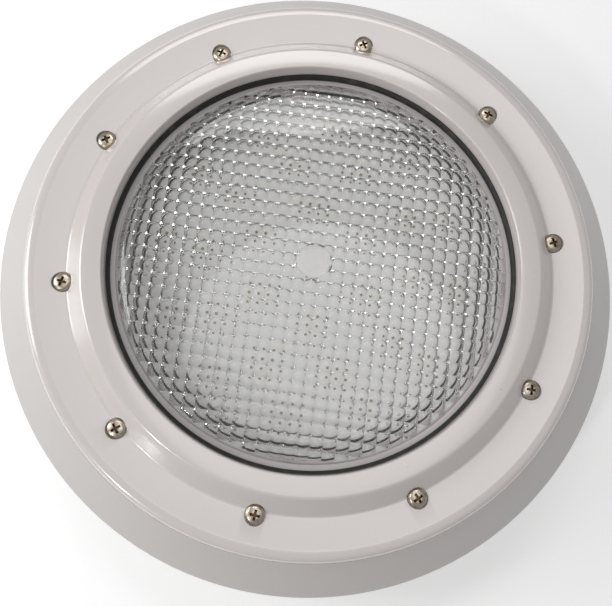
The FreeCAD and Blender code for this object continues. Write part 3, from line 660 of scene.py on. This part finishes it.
def lens_cavity(s, inner):
    """The hollow under the lens: a drum whose top is the grid of square domes that leaves the dimples."""
    deselect()
    bpy.ops.mesh.primitive_grid_add(x_subdivisions=CELL_FACETS, y_subdivisions=CELL_FACETS, size=s.cell)
    relief = bpy.context.object
    for vertex in relief.data.vertices:
        across, along = 2.0 * vertex.co.x / s.cell, 2.0 * vertex.co.y / s.cell
        vertex.co.z = -s.cell_rise * (across * across + along * along) / 2.0
    for axis in (0, 1):
        bpy.ops.object.modifier_add(type="ARRAY")
        modifier = relief.modifiers[-1]
        modifier.count = CELL_COUNT
        modifier.use_relative_offset = False
        modifier.use_constant_offset = True
        step = [0.0, 0.0, 0.0]
        step[axis] = s.cell
        modifier.constant_offset_displace = step
        modifier.use_merge_vertices = True
        modifier.merge_threshold = 1e-5
        bpy.ops.object.modifier_apply(modifier=modifier.name)
    half = (CELL_COUNT - 1) / 2 * s.cell
    relief.data.transform(Matrix.Translation((-half, -half, 0)))
    relief.data.transform(Matrix.Rotation(math.radians(CELL_TURN), 4, "Z"))
    for vertex in relief.data.vertices:
        radius = math.hypot(vertex.co.x, vertex.co.y)
        if radius < s.lens_boss:
            vertex.co.z = 0.0
        vertex.co.z += crown(s, min(radius, inner)) - s.lens_wall
    bpy.ops.object.mode_set(mode="EDIT")
    bpy.ops.mesh.select_all(action="SELECT")
    bpy.ops.mesh.extrude_region_move(TRANSFORM_OT_translate={"value": (0, 0, -12.0 * MM)})
    bpy.ops.mesh.select_all(action="SELECT")
    bpy.ops.mesh.normals_make_consistent(inside=False)
    bpy.ops.object.mode_set(mode="OBJECT")
    deselect()
    low = LENS_LOW.z - 2.0 * MM
    bpy.ops.mesh.primitive_cylinder_add(
        vertices=180, radius=inner, depth=20.0 * MM, location=(0, 0, low + 10.0 * MM)
    )
    drum = bpy.context.object
    drum.data.transform(drum.matrix_world)
    drum.matrix_world = Matrix.Identity(4)
    use_boolean(drum, relief, "INTERSECT")
    return drum


class LAMP_OT_lens(bpy.types.Operator):
    """Model the lens: a smooth dome outside, a grid of square dimples inside"""

    bl_idname = "lamp.lens"
    bl_label = "Prismatic lens"

    def execute(self, context):
        s = context.scene.lamp_sizes
        finish = clear_lens("lens_clear", context.scene.lamp_colours.lens, s.lens_boss, s.shoulder - 1.4 * MM)
        inner = s.shoulder - 1.2 * MM
        flange_top = LENS_LOW.z + LENS_FLANGE
        face = [(AXIS_GAP, LENS_HIGH.z, 0), (s.lens_boss, LENS_HIGH.z, 0.25 * MM)]
        steps = 16
        for i in range(steps + 1):
            share = i / steps
            radius = s.lens_boss + 0.2 * MM + (s.shoulder - s.lens_boss - 0.2 * MM) * (1 - (1 - share) ** 1.6)
            face.append((radius, crown(s, radius), 0))
        lens = lathe("prism_lens", face + [
            (s.shoulder, flange_top + 0.4 * MM, 0.3 * MM),
            (GASKET_LIP, flange_top, 0),
            (LENS_HIGH.x, flange_top, 0),
            (LENS_HIGH.x, LENS_LOW.z, 0),
            (AXIS_GAP, LENS_LOW.z, 0),
        ], finish, segments=180)
        use_boolean(lens, lens_cavity(s, inner), "DIFFERENCE")
        bpy.ops.object.shade_smooth_by_angle(angle=math.radians(50.0))
        lens.data.materials.clear()
        lens.data.materials.append(finish)
        lens.visible_shadow = False
        lens.visible_diffuse = False
        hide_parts("lens")
        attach(lens, "lamp")
        return {"FINISHED"}


class LAMP_OT_gasket(bpy.types.Operator):
    """Model the rubber channel that holds the lens, with its nicked lip"""

    bl_idname = "lamp.gasket"
    bl_label = "Lens gasket"

    def execute(self, context):
        finish = black_rubber("gasket_rubber", context.scene.lamp_colours.rubber)
        low, high = GASKET_LOW, GASKET_HIGH
        inner = GASKET_LIP
        flange_top = LENS_LOW.z + LENS_FLANGE
        gasket = lathe("lens_gasket_lip", [
            (high.x, low.z, 0),
            (high.x, high.z, 0),
            (inner + 1.1 * MM, high.z, 0.4 * MM),
            (inner, high.z - 0.8 * MM, 0.4 * MM),
            (inner, flange_top, 0),
            (LENS_HIGH.x, flange_top, 0),
            (LENS_HIGH.x, LENS_LOW.z, 0),
            (inner + 3.2 * MM, LENS_LOW.z, 0),
            (inner + 3.2 * MM, low.z, 0),
        ], finish, segments=360)
        for vertex in gasket.data.vertices:
            radius = math.hypot(vertex.co.x, vertex.co.y)
            if radius < inner + 2.0 * MM and vertex.co.z > flange_top + 0.3 * MM:
                angle = math.atan2(vertex.co.y, vertex.co.x)
                wave = math.sin(37 * angle) * math.sin(11.3 * angle + 1.0)
                nick = max(0.0, wave - 0.80) * 1.6 * MM
                vertex.co.z -= nick
        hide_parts("lens_gasket")
        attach(gasket, "lamp")
        return {"FINISHED"}


class LAMP_OT_housing(bpy.types.Operator):
    """Finish the skirt and the rear can"""

    bl_idname = "lamp.housing"
    bl_label = "Skirt and can"

    def execute(self, context):
        gloss = glossy_abs("housing_gloss", context.scene.lamp_colours.housing, 0.34, 0.0)
        dress("skirt", gloss)
        dress("rear_can", gloss)
        return {"FINISHED"}


class LAMP_OT_light_engine(bpy.types.Operator):
    """Finish the board, its packages and domes, and the heat plate"""

    bl_idname = "lamp.light_engine"
    bl_label = "Light engine"

    def execute(self, context):
        board = context.scene.lamp_colours.board
        dress("led_board", solder_mask("board_white", board, (0.66, 0.64, 0.60)))
        dress("led_packages", moulded("package_cream", (0.42, 0.37, 0.24), 0.35))
        dress("led_domes", silicone_dome("dome_amber", (0.26, 0.23, 0.17)))
        dress("heat_plate", plain_metal("plate_alloy", (0.72, 0.72, 0.73), 0.34))
        dress("thermal_pad", moulded("pad_silicone", (0.42, 0.45, 0.50), 0.6))
        brass = plain_metal("turned_brass", (0.72, 0.53, 0.25), 0.26)
        dress("board_pillars", brass)
        dress("ring_inserts", brass)
        dress("board_screws", plain_metal("small_steel", (0.62, 0.61, 0.59), 0.25))
        dress("board_connector", moulded("connector_white", (0.80, 0.79, 0.76), 0.4))
        return {"FINISHED"}


class LAMP_OT_driver(bpy.types.Operator):
    """Finish the driver board and its parts"""

    bl_idname = "lamp.driver"
    bl_label = "Driver"

    def execute(self, context):
        dress("driver_board", solder_mask("board_green", (0.02, 0.20, 0.08), (0.05, 0.32, 0.14)))
        dress("driver_screws", plain_metal("driver_steel", (0.62, 0.61, 0.59), 0.25))
        dress("driver_coil", coil_wire("coil_copper", (0.62, 0.30, 0.13)))
        dress("driver_capacitors", plain_metal("capacitor_can", (0.60, 0.61, 0.64), 0.3))
        dress("driver_rectifier", moulded("rectifier_black", (0.03, 0.03, 0.035), 0.45))
        dress("terminal_block", moulded("terminal_green", (0.05, 0.34, 0.14), 0.4))
        dress("lead_red", moulded("wire_red", (0.55, 0.03, 0.02), 0.4))
        dress("lead_black", moulded("wire_black", (0.02, 0.02, 0.02), 0.4))
        return {"FINISHED"}


class LAMP_OT_gland(bpy.types.Operator):
    """Finish the cable gland"""

    bl_idname = "lamp.gland"
    bl_label = "Cable gland"

    def execute(self, context):
        nylon = moulded("gland_nylon", (0.13, 0.13, 0.14), 0.35)
        rubber = black_rubber("gland_rubber", context.scene.lamp_colours.rubber)
        for node in ("gland_body", "gland_nut", "gland_locknut"):
            dress(node, nylon)
        for node in ("gland_seal", "gland_oring"):
            dress(node, rubber)
        return {"FINISHED"}


class LAMP_OT_wall_side(bpy.types.Operator):
    """Finish the wall bracket, the bayonet ring and the wall gasket"""

    bl_idname = "lamp.wall_side"
    bl_label = "Wall side"

    def execute(self, context):
        satin = satin_abs("bracket_satin", (0.72, 0.70, 0.68))
        dress("wall_bracket", satin)
        dress("bayonet_ring", satin)
        dress("wall_gasket", black_rubber("wall_rubber", context.scene.lamp_colours.rubber))
        dress("bayonet_screws", plain_metal("bayonet_steel", (0.62, 0.61, 0.59), 0.25))
        return {"FINISHED"}


def aim(item, target):
    direction = Vector(target) - item.location
    back = -direction.normalized()
    right = Vector((0, 1, 0)).cross(back).normalized()
    up = back.cross(right)
    item.rotation_euler = Matrix((right, up, back)).transposed().to_euler()


def around(azimuth, elevation, distance):
    """A place round the lamp, from its compass angle, its height angle and how far off it is."""
    turn, lift = math.radians(azimuth), math.radians(elevation)
    flat = distance * math.cos(lift)
    return (flat * math.cos(turn), flat * math.sin(turn), distance * math.sin(lift))


def area_light(name, place, target, size, power, tint=(1, 1, 1)):
    data = bpy.data.lights.new(name, "AREA")
    data.shape = "ELLIPSE"
    data.size, data.size_y = size
    data.energy = power
    data.color = tint
    light = bpy.data.objects.new(name, data)
    bpy.context.scene.collection.objects.link(light)
    light.location = place
    aim(light, target)
    return light


class LAMP_OT_stage(bpy.types.Operator):
    """Add the floor, the lights and the camera"""

    bl_idname = "lamp.stage"
    bl_label = "Stage"

    def execute(self, context):
        scene = context.scene
        stage = scene.lamp_stage
        deselect()
        bpy.ops.mesh.primitive_grid_add(x_subdivisions=8, y_subdivisions=8, size=6.0)
        finish = pale_floor("floor_pale", (0.92, 0.92, 0.92), stage.floor_glow)
        floor = name_piece(bpy.context.object, "floor", finish)
        target = (0, 0, 0.05)
        area_light("side", around(173.0, 30.0, 0.9), target, (0.6, 0.4), stage.side_power)
        area_light("far", around(92.0, 52.0, 1.0), target, (0.7, 0.26), stage.far_power)
        area_light("spark", around(222.0, 39.0, 0.95), target, (0.10, 0.07), stage.spark_power)
        area_light("above", around(20.0, 86.0, 1.6), target, (1.0, 1.0), stage.above_power)
        world = bpy.data.worlds.new("studio")
        world.use_nodes = True
        background = world.node_tree.nodes["Background"]
        background.inputs["Color"].default_value = (1.0, 1.0, 1.0, 1.0)
        background.inputs["Strength"].default_value = stage.world_level
        scene.world = world
        data = bpy.data.cameras.new("camera")
        data.lens = stage.camera_lens
        data.sensor_width = 36.0
        data.sensor_fit = "HORIZONTAL"
        data.clip_start = 0.01
        camera = bpy.data.objects.new("camera", data)
        scene.collection.objects.link(camera)
        camera.location = stage.camera_place
        aim(camera, stage.camera_aim)
        scene.camera = camera
        scene.view_settings.view_transform = "Standard"
        return {"FINISHED"}


PIECES = (
    LAMP_OT_housing, LAMP_OT_front_ring, LAMP_OT_ring_screws, LAMP_OT_lens, LAMP_OT_gasket,
    LAMP_OT_light_engine, LAMP_OT_driver, LAMP_OT_gland, LAMP_OT_wall_side, LAMP_OT_stage,
)


class LAMP_PT_panel(bpy.types.Panel):
    """Buttons for each piece of the lamp"""

    bl_idname = "LAMP_PT_panel"
    bl_label = "Pool lamp"
    bl_space_type = "VIEW_3D"
    bl_region_type = "UI"
    bl_category = "Pool lamp"

    def draw(self, context):
        for piece in PIECES:
            self.layout.operator(piece.bl_idname)
        for group in (context.scene.lamp_sizes, context.scene.lamp_colours, context.scene.lamp_stage):
            box = self.layout.box()
            for name in group.__annotations__:
                box.prop(group, name)


GROUPS = (("lamp_sizes", LampSizes), ("lamp_colours", LampColours), ("lamp_stage", StageSettings))


def register():
    for name, group in GROUPS:
        bpy.utils.register_class(group)
        setattr(bpy.types.Scene, name, bpy.props.PointerProperty(type=group))
    for piece in PIECES + (LAMP_PT_panel,):
        bpy.utils.register_class(piece)


def unregister():
    for piece in reversed(PIECES + (LAMP_PT_panel,)):
        bpy.utils.unregister_class(piece)
    for name, group in reversed(GROUPS):
        delattr(bpy.types.Scene, name)
        bpy.utils.unregister_class(group)


def main():
    register()
    for piece in PIECES:
        area, name = piece.bl_idname.split(".")
        getattr(getattr(bpy.ops, area), name)()


if __name__ == "__main__":
    main()
